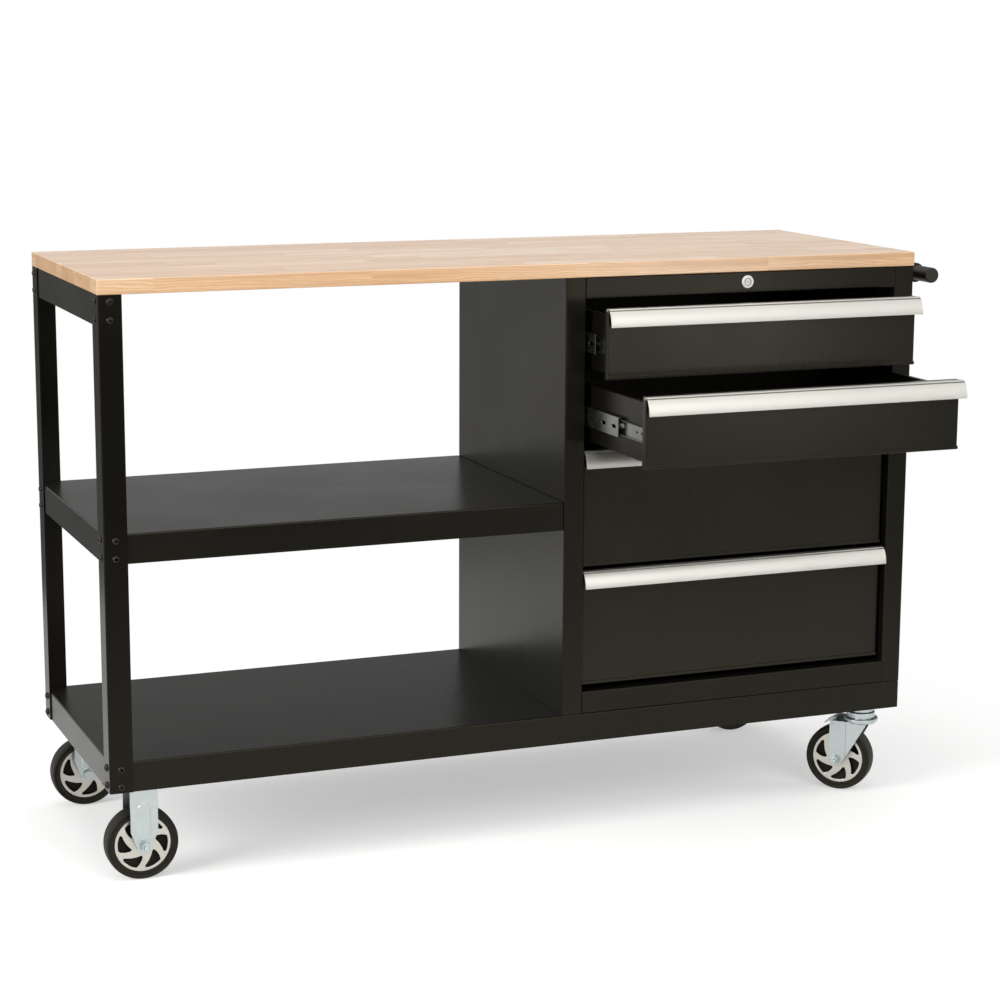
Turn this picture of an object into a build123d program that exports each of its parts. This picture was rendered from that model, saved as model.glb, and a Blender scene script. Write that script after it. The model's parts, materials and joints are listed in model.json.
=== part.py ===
from build123d import *
from math import cos, radians, sin, sqrt
import os

os.makedirs("parts", exist_ok=True)

# Overall sizes of the bench, in millimetres
bench_length = 1500
bench_depth = 520
bench_height = 1016
worktop_thickness = 25
worktop_rounding = 1.5

# Folded steel: sheet thicknesses and the radius of a bend's centre line
leg_sheet = 2.5
shelf_sheet = 1.5
cabinet_sheet = 1.2
tray_sheet = 1.2
bend_radius = 2

# Heights of the frame's members above the floor
base_bottom = 163
base_top = 215
shelf_top = 600
shelf_height = 50
rail_height = 52
leg_flange = 40

# Domed bolts that hold the legs
bolt_radius = 3
bolt_hole_radius = 3.2
bolt_head_radius = 6.5
bolt_head_height = 4
bolt_dome_radius = 5.2
bolt_dome_height = 2.7
bolt_flat_radius = 2.6
bolt_nut_radius = 5.8
bolt_nut_height = 5
bolt_thread_past_nut = 2
bolt_socket_radius = 2.3
bolt_socket_depth = 2
bolt_spacing = 30
drill_depth = 30
bolt_grip = leg_sheet + shelf_sheet

# Wood screws that hold the worktop from below
screw_radius = 2.5
screw_hole_radius = 2.6
screw_length = 16
screw_tip_gap = 0.5
screw_head_radius = 5
screw_head_height = 2.5
rail_screw_inset = 22
rail_screw_end_gap = 110
header_screw_inset = 18
header_screw_end_gap = 90
header_screw_past_lock = 60

# Drawer cabinet
cabinet_width = 686
stile_width = 38
stile_return = 22
header_height = 38
sill_height = 40
post_width = 40
post_top_gap = 5
post_back_gap = 30
back_flange = 20
back_top_gap = 4
header_flange = 30
fold_lip = 25
strap_heights = (331, 901)
strap_half_height = 10
strap_sheet = 2
strap_clearance = 1
strap_foot = 7
bend_clearance = 4

# Drawers, from the top down: height of the handle's top, and how far each stands open
drawer_tops = (945, 816, 687, 472)
drawer_heights = (122, 122, 208, 208)
drawer_opened = (96, 250, 0, 0)
drawer_recess = 15
front_width = 600
front_return = 12
hem_height = 6
hem_depth = 2.5
hem_rounding = 1
tray_width = 584
tray_end = 455
tray_floor_gap = 9
tray_top_gap = 13
tray_rim = 8

# Extruded handle
handle_length = 606
handle_wall = 2
handle_flange = 11
handle_reach = 22
handle_drop = 30
handle_back = 5
handle_groove_drop = 2.5
handle_groove = 2

# Ball-bearing slides: half heights and depths from the cabinet's post towards the drawer
slide_sheet = 1.2
slide_start = 29
slide_length = 445
slide_drop = 5.5
middle_share = 0.64
outer_half_height = 20
outer_depth = 7
middle_half_height = 17
middle_near = 3
middle_far = 9.5
inner_half_height = 13
inner_near = 6.5
inner_far = 13
slide_hole_radius = 3
slide_slot_length = 16
middle_slot_places = (18, 60)
inner_slot_places = (14, 34, 96, 300)

# Lock in the header, its spindle and the bar behind the drawers
lock_offset = 5
lock_below_top = 18
lock_play = 0.1
lock_collar_radius = 11.5
lock_collar_height = 2.5
lock_barrel_radius = 9
lock_depth = 22
lock_rounding = 1.2
plug_recess = 0.5
lock_plug_radius = 6
spindle_radius = 6
crank_radius = 8
crank_pin_radius = 2.5
key_slot_half_width = 3.5
key_slot_half_height = 0.8
key_slot_depth = 10
crank_thickness = 4
crank_width = 14
crank_bar_gap = 5
pin_past_bar = 2
pin_play = 0.3
pin_end_play = 1
pin_overtravel = 2
lock_bar_sheet = 2
lock_bar_width = 30
lock_bar_back_gap = 15
lock_bar_foot = 20
lock_bar_head = 8.5
bar_tab_half_width = 8
bar_tab_drop = 8
bar_tab_gap = 7
tab_tip_gap = 10.5
catch_depth = 16
catch_lip = 6
catch_sheet = 1.5
catch_half_width = 12

# Push bar at the right end
push_bar_offset = 60
push_bar_diameter = 28
push_bar_wall = 2
push_bar_height = 968
push_bar_inset = 35
push_bracket_inset = 105
clamp_wall = 4
cap_thickness = 4
cap_plug_length = 16
cap_play = 0.1
cap_rounding = 2.5
bracket_half_width = 22
bracket_drop = 30
bracket_rise = 18
bracket_bolt_offset = 15
bracket_bolt_rise = 8
arm_half_width = 12
arm_half_height = 10

# Wheels
wheel_radius = 62
wheel_width = 34
tyre_rounding = 3
rim_radius = 48.5
rim_play = 0.1
web_thickness = 10
rim_disc = 4
rim_face = 14
hub_radius = 13
hub_length = 50
window_count = 6
window_outer = 42.8
window_span = 44.5
window_tip_radius = 20
window_tip_angle = 59
window_bow_radius = 30.2
window_bow_angle = 22.5
window_side_radius = 31.8
window_side_angle = 54
window_rounding = 2.5
wheels_rolled = (-1, 18, 38, 0)

# Axles and forks
axle_radius = 5
axle_hex_radius = 9
axle_head_height = 6
axle_nut_height = 9
axle_thread_length = 18
axle_chamfer = 1
running_gap = 0.06
fork_inside = 52
fork_sheet = 3
fixed_fork_width = 47
cheek_end_radius = 13
cheek_taper_rise = 26
rib_width = 21
rib_height = 1.2
rib_top = 138
rib_above_axle = 11
rib_taper = 25

# Caster plates and the channels that they are bolted to, set up inside the base
caster_recess = 10
caster_plate = 3
caster_plate_x = 84
caster_hole_x = 64
fixed_inset_x = 60
fixed_inset_y = 43
fixed_plate_y = 62
fixed_hole_y = 42
swivel_inset_x = 63
swivel_inset_y = 31
swivel_plate_y = 50
swivel_hole_y = 34
caster_bolt_radius = 4
caster_bolt_play = 0.2
caster_hex_radius = 7.5
caster_head_height = 5
caster_nut_height = 6.5
caster_bolt_length = 20
channel_width = 92
channel_sheet = 2.5
fixed_channel_clearance = 12
swivel_channel_clearance = 3

# Swivel casters: races, king pin, fork about the king pin, brake pedal
swivel_trail = 38
swivel_turned = 47
race_radius = 24
race_height = 14.5
race_rounding = 2
race_gap = 1
fork_race_radius = 26.5
fork_race_height = 9
neck_radius = 22
neck_height = 2.5
crown_radius = 32
crown_height = 9
crown_rounding = 6
king_pin_radius = 7
king_head_radius = 12
king_head_height = 4
king_head_gap = 0.5
fork_toe = -17
fork_heel = 51
fork_band = 6
wing_bend = 20
wing_turn = 17
wing_overlap = 0.6
bridge_start = -12
bridge_end = 31
bridge_sheet = 3
pedal_pivot_x = 45
pedal_pivot_z = 129
pedal_pin_radius = 2.5
pedal_pin_past_cheek = 1
pedal_boss_radius = 4.5
pedal_half_width = 17
pedal_outline = (
    (-3.5, 0),
    (-3.5, 12),
    (2, 12),
    (19, 1),
    (21, -2),
    (19, -2.5),
    (5.5, 5.5),
    (3.5, 0),
)

# Places worked out from the sizes above; the origin is on the floor under the middle of the outline
front_reach = max(drawer_opened) + handle_reach - drawer_recess - leg_sheet
overall_length = bolt_head_height + bench_length + push_bar_offset + push_bar_diameter / 2 + clamp_wall
overall_depth = front_reach + bench_depth + bolt_head_height
x_left = bolt_head_height - overall_length / 2
x_right = x_left + bench_length
y_front = front_reach - overall_depth / 2
y_back = y_front + bench_depth
y_middle = (y_front + y_back) / 2
underside = bench_height - worktop_thickness
cabinet_left = x_right - cabinet_width
cabinet_middle = (cabinet_left + x_right) / 2
cabinet_front = y_front + leg_sheet
cabinet_back = y_back - leg_sheet
opening_left = cabinet_left + stile_width
opening_right = x_right - stile_width
opening_top = underside - header_height
opening_bottom = base_top + sill_height
half_sheet = cabinet_sheet / 2
panel_closed = cabinet_front + drawer_recess
lock_x = cabinet_middle + lock_offset
lock_height = underside - lock_below_top
slide_front = cabinet_front + slide_start
lock_bar_front = cabinet_back - lock_bar_back_gap
rail_level = underside - rail_height / 2
shelf_level = shelf_top - shelf_height / 2
base_level = (base_bottom + base_top) / 2
wheel_left_x = x_left + fixed_inset_x
fixed_places = (y_front + fixed_inset_y, y_back - fixed_inset_y)
swivel_x = x_right - swivel_inset_x
swivel_places = (y_front + swivel_inset_y, y_back - swivel_inset_y)
mount_level = base_bottom + caster_recess


def block(low, high, mode=Mode.ADD):
    """Box between two corners, in the part being built."""
    middle = (Vector(*low) + Vector(*high)) / 2
    size = Vector(*high) - Vector(*low)
    with Locations(middle):
        Box(size.X, size.Y, size.Z, mode=mode)


def folded_sheet(plane, corners, sheet, length):
    """Sheet folded along the corners of its section, as long as the section is extruded."""
    with BuildPart() as folded:
        with BuildSketch(plane):
            with BuildLine():
                FilletPolyline(*corners, radius=bend_radius)
            trace(line_width=sheet)
        extrude(amount=length)
    return folded


# Bolt places: each plane lies on a leg's outer face and points into the leg
leg_bolt_planes = []
for level in (rail_level, shelf_level, base_level):
    for z in (level - bolt_spacing / 2, level + bolt_spacing / 2):
        middle = leg_flange / 2
        leg_bolt_planes.append(Plane((x_left + middle, y_front, z), z_dir=(0, 1, 0)))
        leg_bolt_planes.append(Plane((x_left + middle, y_back, z), z_dir=(0, -1, 0)))
        leg_bolt_planes.append(Plane((x_left, y_front + middle, z), z_dir=(1, 0, 0)))
        leg_bolt_planes.append(Plane((x_left, y_back - middle, z), z_dir=(1, 0, 0)))

bracket_plate = bolt_grip - cabinet_sheet
bracket_low = push_bar_height - bracket_drop
bracket_bolt_planes = []
for y in (y_front + push_bracket_inset, y_back - push_bracket_inset):
    for side in (-1, 1):
        bolt_y = y + side * bracket_bolt_offset
        centre = (x_right + bracket_plate, bolt_y, bracket_low + bracket_bolt_rise)
        bracket_bolt_planes.append(Plane(centre, z_dir=(-1, 0, 0)))


def drill_bolts(planes):
    """Clearance holes for the bolts, in the part being built."""
    with Locations(*planes):
        Cylinder(bolt_hole_radius, drill_depth, mode=Mode.SUBTRACT)


# Worktop screws: under the end rail's flange and under the header's flange
upwards = (Align.CENTER, Align.CENTER, Align.MIN)
downwards = (Align.CENTER, Align.CENTER, Align.MAX)
screw_places = []
for y in (y_front + rail_screw_end_gap, y_middle, y_back - rail_screw_end_gap):
    screw_places.append((x_left + rail_screw_inset, y, underside))
for x in (
    opening_left + header_screw_end_gap,
    cabinet_middle + header_screw_past_lock,
    opening_right - header_screw_end_gap,
):
    screw_places.append((x, cabinet_front + header_screw_inset, underside))

# Worktop, with pilot holes for its screws
with BuildPart() as worktop:
    block((x_left, y_front, underside), (x_right, y_back, bench_height))
    fillet(worktop.edges(), worktop_rounding)
    with Locations(*screw_places):
        Cylinder(screw_hole_radius, screw_length + screw_tip_gap, align=upwards, mode=Mode.SUBTRACT)
worktop.part.label = "worktop"
export_step(worktop.part, "parts/worktop.step")

with BuildPart() as worktop_screws:
    for x, y, z in screw_places:
        with Locations((x, y, z - shelf_sheet)):
            Cylinder(screw_radius, screw_length + shelf_sheet, align=upwards)
            Cylinder(screw_head_radius, screw_head_height, align=downwards)
worktop_screws.part.label = "worktop_screws"
export_step(worktop_screws.part, "parts/worktop_screws.step")

# Two folded angle legs at the left end
for name, corner_y, inward in (("leg_front_left", y_front, 1), ("leg_back_left", y_back, -1)):
    half = leg_sheet / 2
    with BuildPart() as leg:
        with BuildSketch(Plane.XY.offset(base_bottom)):
            with BuildLine():
                FilletPolyline(
                    (x_left + leg_flange, corner_y + inward * half),
                    (x_left + half, corner_y + inward * half),
                    (x_left + half, corner_y + inward * leg_flange),
                    radius=bend_radius,
                )
            trace(line_width=leg_sheet)
        extrude(amount=underside - base_bottom)
        drill_bolts(leg_bolt_planes)
    leg.part.label = name
    export_step(leg.part, f"parts/{name}.step")

# End rail under the worktop: web, top flange and a tab folded behind each leg's front flange
with BuildPart() as top_end_rail:
    rail_x = x_left + leg_sheet
    rail_bottom = underside - rail_height
    rail_end = x_left + leg_flange
    block((rail_x, cabinet_front, rail_bottom), (rail_x + shelf_sheet, cabinet_back, underside))
    block((rail_x, cabinet_front, underside - shelf_sheet), (rail_end, cabinet_back, underside))
    block((rail_x, cabinet_front, rail_bottom), (rail_end, cabinet_front + shelf_sheet, underside))
    block((rail_x, cabinet_back - shelf_sheet, rail_bottom), (rail_end, cabinet_back, underside))
    outer_corners = top_end_rail.edges().filter_by(Axis.Z).group_by(Axis.X)[0]
    fillet(outer_corners, bend_radius)
    drill_bolts(leg_bolt_planes)
    with Locations(*screw_places):
        Cylinder(screw_hole_radius, 2 * screw_length, mode=Mode.SUBTRACT)
top_end_rail.part.label = "top_end_rail"
export_step(top_end_rail.part, "parts/top_end_rail.step")

# Middle shelf and base: folded trays, open underneath
for name, right, low, high in (
    ("middle_shelf", cabinet_left, shelf_top - shelf_height, shelf_top),
    ("base_shelf", x_right, base_bottom, base_top),
):
    with BuildPart() as shelf:
        block((x_left + leg_sheet, cabinet_front, low), (right, cabinet_back, high))
        fillet(shelf.edges().filter_by(Axis.Z), bend_radius + shelf_sheet)
        fillet(shelf.faces().sort_by(Axis.Z)[-1].edges(), bend_radius + shelf_sheet / 2)
        offset(amount=-shelf_sheet, openings=shelf.faces().sort_by(Axis.Z)[0])
        drill_bolts(leg_bolt_planes)
    shelf.part.label = name
    export_step(shelf.part, f"parts/{name}.step")

# Channels inside the base, one under each end, that carry the casters
fixed_bolt_places = [
    (wheel_left_x + side_x * caster_hole_x / 2, y + side_y * fixed_hole_y / 2, mount_level)
    for y in fixed_places
    for side_x in (-1, 1)
    for side_y in (-1, 1)
]
swivel_bolt_places = [
    (swivel_x + side_x * caster_hole_x / 2, y + side_y * swivel_hole_y / 2, mount_level)
    for y in swivel_places
    for side_x in (-1, 1)
    for side_y in (-1, 1)
]


def drill_caster_bolts(places):
    """Clearance holes for the bolts of the caster plates, in the part being built."""
    with Locations(*places):
        Cylinder(caster_bolt_radius + caster_bolt_play, caster_bolt_length, mode=Mode.SUBTRACT)


with BuildPart() as caster_channels:
    for x, clearance in ((wheel_left_x, fixed_channel_clearance), (swivel_x, swivel_channel_clearance)):
        channel_left = x - channel_width / 2
        channel_right = x + channel_width / 2
        channel_front = cabinet_front + clearance
        channel_back = cabinet_back - clearance
        channel_top = base_top - shelf_sheet
        block((channel_left, channel_front, mount_level), (channel_right, channel_back, channel_top))
        block(
            (channel_left + channel_sheet, channel_front, mount_level + channel_sheet),
            (channel_right - channel_sheet, channel_back, channel_top),
            mode=Mode.SUBTRACT,
        )
    drill_caster_bolts(fixed_bolt_places + swivel_bolt_places)
caster_channels.part.label = "caster_channels"
export_step(caster_channels.part, "parts/caster_channels.step")

with BuildPart() as caster_bolts:
    for x, y, z in fixed_bolt_places + swivel_bolt_places:
        with BuildSketch(Plane((x, y, z - caster_plate))):
            RegularPolygon(caster_hex_radius, 6)
        extrude(amount=-caster_head_height)
        with BuildSketch(Plane((x, y, z + channel_sheet))):
            RegularPolygon(caster_hex_radius, 6)
        extrude(amount=caster_nut_height)
        with Locations((x, y, z)):
            Cylinder(caster_bolt_radius, caster_bolt_length)
caster_bolts.part.label = "caster_bolts"
export_step(caster_bolts.part, "parts/caster_bolts.step")

# One domed bolt with its nut, pointing along +Z from the face that it sits on
bolt_tip = bolt_grip + bolt_nut_height + bolt_thread_past_nut
with BuildPart() as bolt:
    with BuildSketch(Plane.XZ):
        with BuildLine():
            Polyline(
                (bolt_flat_radius, -bolt_head_height),
                (0, -bolt_head_height),
                (0, bolt_tip),
                (bolt_radius, bolt_tip),
                (bolt_radius, 0),
                (bolt_head_radius, 0),
            )
            ThreePointArc(
                (bolt_head_radius, 0),
                (bolt_dome_radius, -bolt_dome_height),
                (bolt_flat_radius, -bolt_head_height),
            )
        make_face()
    revolve(axis=Axis.Z)
    with BuildSketch(Plane.XY.offset(bolt_grip)):
        RegularPolygon(bolt_nut_radius, 6)
    extrude(amount=bolt_nut_height)
    with BuildSketch(Plane.XY.offset(-bolt_head_height)):
        RegularPolygon(bolt_socket_radius, 6)
    extrude(amount=bolt_socket_depth, mode=Mode.SUBTRACT)

with BuildPart() as frame_bolts:
    with Locations(*leg_bolt_planes):
        add(bolt.part)
    with Locations(*bracket_bolt_planes):
        add(bolt.part)
frame_bolts.part.label = "frame_bolts"
export_step(frame_bolts.part, "parts/frame_bolts.step")

# Cabinet sides: panel, front stile, stile return and back flange folded from one sheet each
for name, panel_x, inward in (
    ("cabinet_left_side", cabinet_left, 1),
    ("cabinet_right_side", x_right, -1),
):
    stile_x = panel_x + inward * (stile_width - half_sheet)
    with BuildPart() as side:
        with BuildSketch(Plane.XY.offset(base_top)):
            with BuildLine():
                FilletPolyline(
                    (panel_x + inward * back_flange, cabinet_back - half_sheet),
                    (panel_x + inward * half_sheet, cabinet_back - half_sheet),
                    (panel_x + inward * half_sheet, cabinet_front + half_sheet),
                    (stile_x, cabinet_front + half_sheet),
                    (stile_x, cabinet_front + stile_return),
                    radius=bend_radius,
                )
            trace(line_width=cabinet_sheet)
        extrude(amount=underside - base_top)
        drill_bolts(bracket_bolt_planes)
    side.part.label = name
    export_step(side.part, f"parts/{name}.step")

# Cabinet back, inside the back flanges, with two straps that guide the lock bar
back_plate_front = cabinet_back - 2 * cabinet_sheet
strap_hole_half_width = lock_bar_width / 2 + strap_clearance
strap_half_width = strap_hole_half_width + strap_foot
strap_hole_front = lock_bar_front - strap_clearance
with BuildPart() as cabinet_back_panel:
    block(
        (cabinet_left + bend_clearance, back_plate_front, base_top),
        (x_right - bend_clearance, cabinet_back - cabinet_sheet, underside - back_top_gap),
    )
    for z in strap_heights:
        block(
            (lock_x - strap_half_width, strap_hole_front - strap_sheet, z - strap_half_height),
            (lock_x + strap_half_width, back_plate_front, z + strap_half_height),
        )
        block(
            (lock_x - strap_hole_half_width, strap_hole_front, z - strap_half_height),
            (lock_x + strap_hole_half_width, back_plate_front, z + strap_half_height),
            mode=Mode.SUBTRACT,
        )
cabinet_back_panel.part.label = "cabinet_back"
export_step(cabinet_back_panel.part, "parts/cabinet_back.step")

# Header and sill between the stiles, the header with the lock's hole
front_plane = Plane((lock_x, cabinet_front, lock_height), z_dir=(0, 1, 0))
header_corners = (
    (cabinet_front + header_flange, underside - half_sheet),
    (cabinet_front + half_sheet, underside - half_sheet),
    (cabinet_front + half_sheet, opening_top + half_sheet),
    (cabinet_front + fold_lip, opening_top + half_sheet),
)
opening_plane = Plane.YZ.offset(opening_left)
opening_width = opening_right - opening_left
header = folded_sheet(opening_plane, header_corners, cabinet_sheet, opening_width)
with header:
    with Locations(front_plane):
        Cylinder(lock_barrel_radius + lock_play, lock_depth, mode=Mode.SUBTRACT)
    with Locations(*screw_places):
        Cylinder(screw_hole_radius, 2 * screw_length, mode=Mode.SUBTRACT)
header.part.label = "cabinet_header"
export_step(header.part, "parts/cabinet_header.step")

sill_corners = (
    (cabinet_front + fold_lip, opening_bottom - half_sheet),
    (cabinet_front + half_sheet, opening_bottom - half_sheet),
    (cabinet_front + half_sheet, base_top + half_sheet),
    (cabinet_front + fold_lip, base_top + half_sheet),
)
sill = folded_sheet(opening_plane, sill_corners, cabinet_sheet, opening_width)
sill.part.label = "cabinet_sill"
export_step(sill.part, "parts/cabinet_sill.step")

# Four channel posts that carry the outer slide members
post_top = underside - post_top_gap
with BuildPart() as slide_posts:
    for panel_x, face_x in (
        (cabinet_left + cabinet_sheet, opening_left),
        (x_right - cabinet_sheet, opening_right),
    ):
        low_x = min(panel_x, face_x)
        high_x = max(panel_x, face_x)
        inward = 1 if face_x > panel_x else -1
        for post_front in (slide_front, cabinet_back - post_back_gap - post_width):
            post_back = post_front + post_width
            block((low_x, post_front, base_top), (high_x, post_back, post_top))
            block(
                (low_x - inward * cabinet_sheet, post_front + cabinet_sheet, base_top),
                (high_x - inward * cabinet_sheet, post_back - cabinet_sheet, post_top),
                mode=Mode.SUBTRACT,
            )
slide_posts.part.label = "slide_posts"
export_step(slide_posts.part, "parts/slide_posts.step")

# Lock: housing with its collar, then the plug with spindle and crank in one piece
with BuildPart() as lock_body:
    with Locations(front_plane):
        Cylinder(lock_collar_radius, lock_collar_height, align=downwards)
        Cylinder(lock_barrel_radius, lock_depth, align=upwards)
    fillet(lock_body.edges().filter_by(GeomType.CIRCLE).sort_by(Axis.Y)[0], lock_rounding)
    with Locations(front_plane):
        Cylinder(lock_plug_radius + running_gap, 4 * lock_depth, mode=Mode.SUBTRACT)
lock_body.part.label = "lock_body"
export_step(lock_body.part, "parts/lock_body.step")

spindle_end = lock_bar_front - crank_bar_gap
crank_pin_end = lock_bar_front + lock_bar_sheet + pin_past_bar
with BuildPart() as lock_plug:
    with Locations(front_plane.offset(plug_recess - lock_collar_height)):
        Cylinder(lock_plug_radius, lock_depth + lock_collar_height, align=upwards)
    with Locations(front_plane):
        Cylinder(spindle_radius, spindle_end - cabinet_front, align=upwards)
    crank_centre = (lock_x, spindle_end, lock_height)
    with BuildSketch(Plane(crank_centre, x_dir=(1, 0, 0), z_dir=(0, -1, 0))):
        with Locations((crank_radius / 2, 0)):
            SlotCenterToCenter(crank_radius, crank_width)
    extrude(amount=crank_thickness)
    pin_place = (lock_x + crank_radius, spindle_end, lock_height)
    with Locations(Plane(pin_place, z_dir=(0, 1, 0))):
        Cylinder(crank_pin_radius, crank_pin_end - spindle_end, align=upwards)
    slot_front = cabinet_front - lock_collar_height
    block(
        (lock_x - key_slot_half_width, slot_front, lock_height - key_slot_half_height),
        (lock_x + key_slot_half_width, slot_front + key_slot_depth, lock_height + key_slot_half_height),
        mode=Mode.SUBTRACT,
    )
lock_plug.part.label = "lock_plug"
export_step(lock_plug.part, "parts/lock_plug.step")

# Lock bar: slotted for the crank pin, with an upturned tab behind each drawer
drawer_levels = [top - height / 2 for top, height in zip(drawer_tops, drawer_heights)]
tray_back = cabinet_front + tray_end
bar_left = lock_x - lock_bar_width / 2
bar_right = lock_x + lock_bar_width / 2
bar_back = lock_bar_front + lock_bar_sheet
bar_tab_front = tray_back + bar_tab_gap
pin_slot_low = lock_height - crank_pin_radius - pin_play
pin_slot_high = lock_height + crank_pin_radius + pin_overtravel
pin_slot_left = lock_x - crank_pin_radius - pin_end_play
pin_slot_right = lock_x + crank_radius + crank_pin_radius + pin_end_play
with BuildPart() as lock_bar:
    bar_bottom = drawer_tops[-1] - drawer_heights[-1] + lock_bar_foot
    block((bar_left, lock_bar_front, bar_bottom), (bar_right, bar_back, lock_height + lock_bar_head))
    block(
        (pin_slot_left, lock_bar_front - 1, pin_slot_low),
        (pin_slot_right, bar_back + 1, pin_slot_high),
        mode=Mode.SUBTRACT,
    )
    for z in drawer_levels:
        tip = z - tab_tip_gap
        foot = tip - bar_tab_drop
        tab_left = lock_x - bar_tab_half_width
        tab_right = lock_x + bar_tab_half_width
        block((tab_left, bar_tab_front, foot), (tab_right, lock_bar_front, foot + lock_bar_sheet))
        block((tab_left, bar_tab_front, foot), (tab_right, bar_tab_front + lock_bar_sheet, tip))
lock_bar.part.label = "lock_bar"
export_step(lock_bar.part, "parts/lock_bar.step")

# Push bar at the right end: tube, end caps and two clamp brackets
push_x = x_right + push_bar_offset
push_start = y_front + push_bar_inset
push_end = y_back - push_bar_inset
push_radius = push_bar_diameter / 2
tube_plane = Plane((push_x, push_start + cap_thickness, push_bar_height), z_dir=(0, 1, 0))
tube_length = push_end - push_start - 2 * cap_thickness
with BuildPart() as push_bar:
    with BuildSketch(tube_plane):
        Circle(push_radius)
        Circle(push_radius - push_bar_wall, mode=Mode.SUBTRACT)
    extrude(amount=tube_length)
push_bar.part.label = "push_bar"
export_step(push_bar.part, "parts/push_bar.step")

with BuildPart() as push_bar_caps:
    for y, inward in ((push_start, 1), (push_end, -1)):
        with Locations(Plane((push_x, y, push_bar_height), z_dir=(0, inward, 0))):
            Cylinder(push_radius, cap_thickness, align=upwards)
            Cylinder(push_radius - push_bar_wall - cap_play, cap_plug_length, align=upwards)
    rims = push_bar_caps.edges().filter_by(GeomType.CIRCLE)
    fillet([rims.sort_by(Axis.Y)[0], rims.sort_by(Axis.Y)[-1]], cap_rounding)
push_bar_caps.part.label = "push_bar_caps"
export_step(push_bar_caps.part, "parts/push_bar_caps.step")

clamp_radius = push_radius + clamp_wall
with BuildPart() as push_bar_brackets:
    for y in (y_front + push_bracket_inset, y_back - push_bracket_inset):
        block(
            (x_right, y - bracket_half_width, bracket_low),
            (x_right + bracket_plate, y + bracket_half_width, push_bar_height + bracket_rise),
        )
        block(
            (x_right, y - arm_half_width, push_bar_height - arm_half_height),
            (push_x, y + arm_half_width, push_bar_height + arm_half_height),
        )
        with Locations(Plane((push_x, y, push_bar_height), z_dir=(0, 1, 0))):
            Cylinder(clamp_radius, 2 * arm_half_width)
    with Locations(Plane((push_x, y_middle, push_bar_height), z_dir=(0, 1, 0))):
        Cylinder(push_radius + running_gap, bench_depth, mode=Mode.SUBTRACT)
    drill_bolts(bracket_bolt_planes)
push_bar_brackets.part.label = "push_bar_brackets"
export_step(push_bar_brackets.part, "parts/push_bar_brackets.step")

# Slide members, at both sides of every drawer
slide_levels = [level - slide_drop for level in drawer_levels]
slide_sides = ((opening_left, 1), (opening_right, -1))


def slide_channel(post_x, inward, span, half_height, y_start, z, open_to_post):
    """One channel of a slide, in the part being built; span is its near and far depth from the post."""
    near, far = [post_x + inward * depth for depth in span]
    hollow_near = near - inward if open_to_post else near + inward * slide_sheet
    hollow_far = far - inward * slide_sheet if open_to_post else far + inward
    y_end = y_start + slide_length
    block((min(near, far), y_start, z - half_height), (max(near, far), y_end, z + half_height))
    block(
        (min(hollow_near, hollow_far), y_start - 1, z - half_height + slide_sheet),
        (max(hollow_near, hollow_far), y_end + 1, z + half_height - slide_sheet),
        mode=Mode.SUBTRACT,
    )


with BuildPart() as slide_outers:
    for z in slide_levels:
        for post_x, inward in slide_sides:
            slide_channel(post_x, inward, (0, outer_depth), outer_half_height, slide_front, z, False)
slide_outers.part.label = "slide_outers"
export_step(slide_outers.part, "parts/slide_outers.step")

for number, (z, opened) in enumerate(zip(slide_levels, drawer_opened), start=1):
    middle_start = slide_front - middle_share * opened
    inner_start = slide_front - opened
    with BuildPart() as slide_middle:
        for post_x, inward in slide_sides:
            span = (middle_near, middle_far)
            slide_channel(post_x, inward, span, middle_half_height, middle_start, z, False)
        for along in middle_slot_places:
            slot_centre = (cabinet_middle, middle_start + along, z)
            with BuildSketch(Plane(slot_centre, x_dir=(0, 1, 0), z_dir=(1, 0, 0))):
                SlotOverall(slide_slot_length, 2 * slide_hole_radius)
            extrude(amount=cabinet_width, both=True, mode=Mode.SUBTRACT)
    slide_middle.part.label = f"drawer_{number}_slide_middle"
    export_step(slide_middle.part, f"parts/drawer_{number}_slide_middle.step")

    with BuildPart() as slide_inner:
        for post_x, inward in slide_sides:
            span = (inner_near, inner_far)
            slide_channel(post_x, inward, span, inner_half_height, inner_start, z, True)
        for along in inner_slot_places:
            slot_centre = (cabinet_middle, inner_start + along, z)
            with BuildSketch(Plane(slot_centre, x_dir=(0, 1, 0), z_dir=(1, 0, 0))):
                SlotOverall(slide_slot_length / 2, slide_hole_radius)
            extrude(amount=cabinet_width, both=True, mode=Mode.SUBTRACT)
    slide_inner.part.label = f"drawer_{number}_slide_inner"
    export_step(slide_inner.part, f"parts/drawer_{number}_slide_inner.step")

# Drawers: folded tray, folded front with a hemmed lower edge, extruded handle
tray_left = cabinet_middle - tray_width / 2
tray_right = cabinet_middle + tray_width / 2
front_left = cabinet_middle - front_width / 2
front_right = cabinet_middle + front_width / 2
curve_bulge = handle_reach - handle_flange
curve_radius = (handle_drop**2 + curve_bulge**2) / (2 * curve_bulge)
curve_inner = curve_radius - handle_wall


def curve_depth(radius, drop):
    """How far the handle's curve stands in front of the panel, a given drop below its top."""
    return sqrt(radius**2 - (handle_drop - drop) ** 2) - curve_radius + handle_reach


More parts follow.
